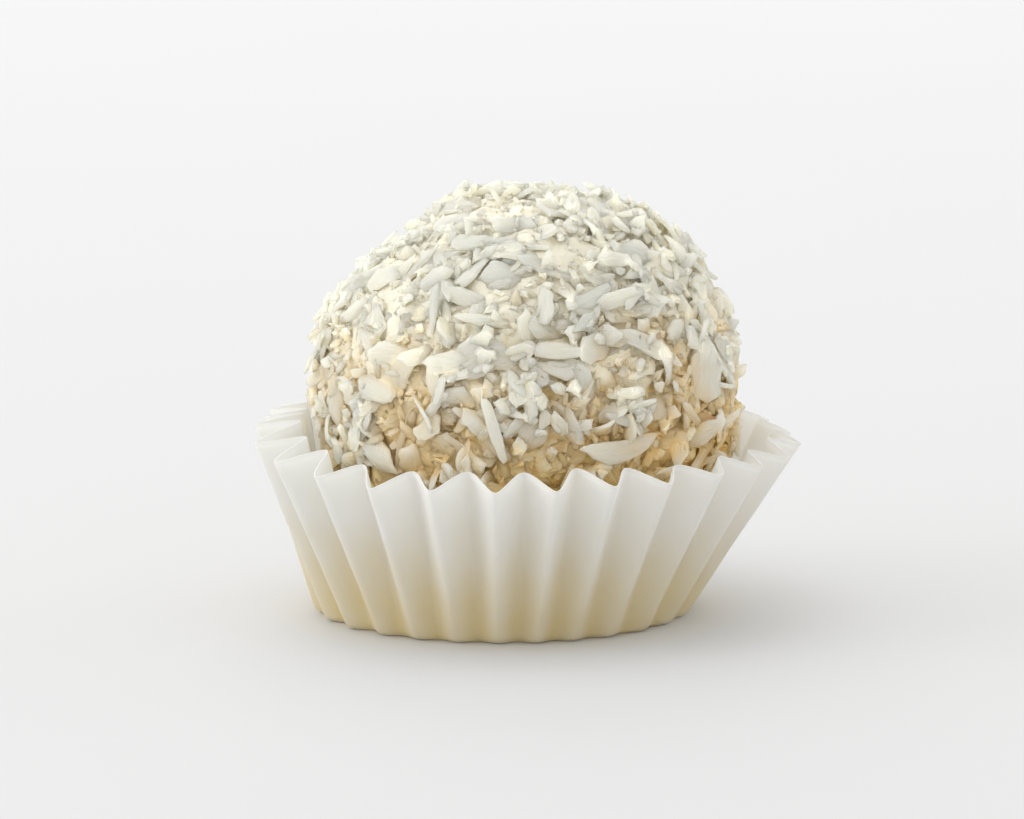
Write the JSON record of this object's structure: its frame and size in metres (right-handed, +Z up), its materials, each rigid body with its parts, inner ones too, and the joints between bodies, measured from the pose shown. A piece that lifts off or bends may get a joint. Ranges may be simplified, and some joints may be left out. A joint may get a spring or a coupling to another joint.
{
  "type": "coconut praline",
  "caption": "Round white sweet coated in coconut chips, sitting in its own fluted white paper case.",
  "frame": {"origin": "middle of the paper case's flat base, on the surface that it stands on", "axes": "+Z up, -Y towards the viewer of the front, +X to the viewer's right"},
  "size_m": [0.0375, 0.0403, 0.0298],
  "materials": {
    "coconut": "ivory flakes of dried coconut over a cream coating, matt and slightly translucent",
    "paper": "thin white greaseproof paper, matt and slightly translucent"
  },
  "bodies": {
    "root": {"praline": "coconut", "paper_case": "paper"}
  },
  "joints": []
}
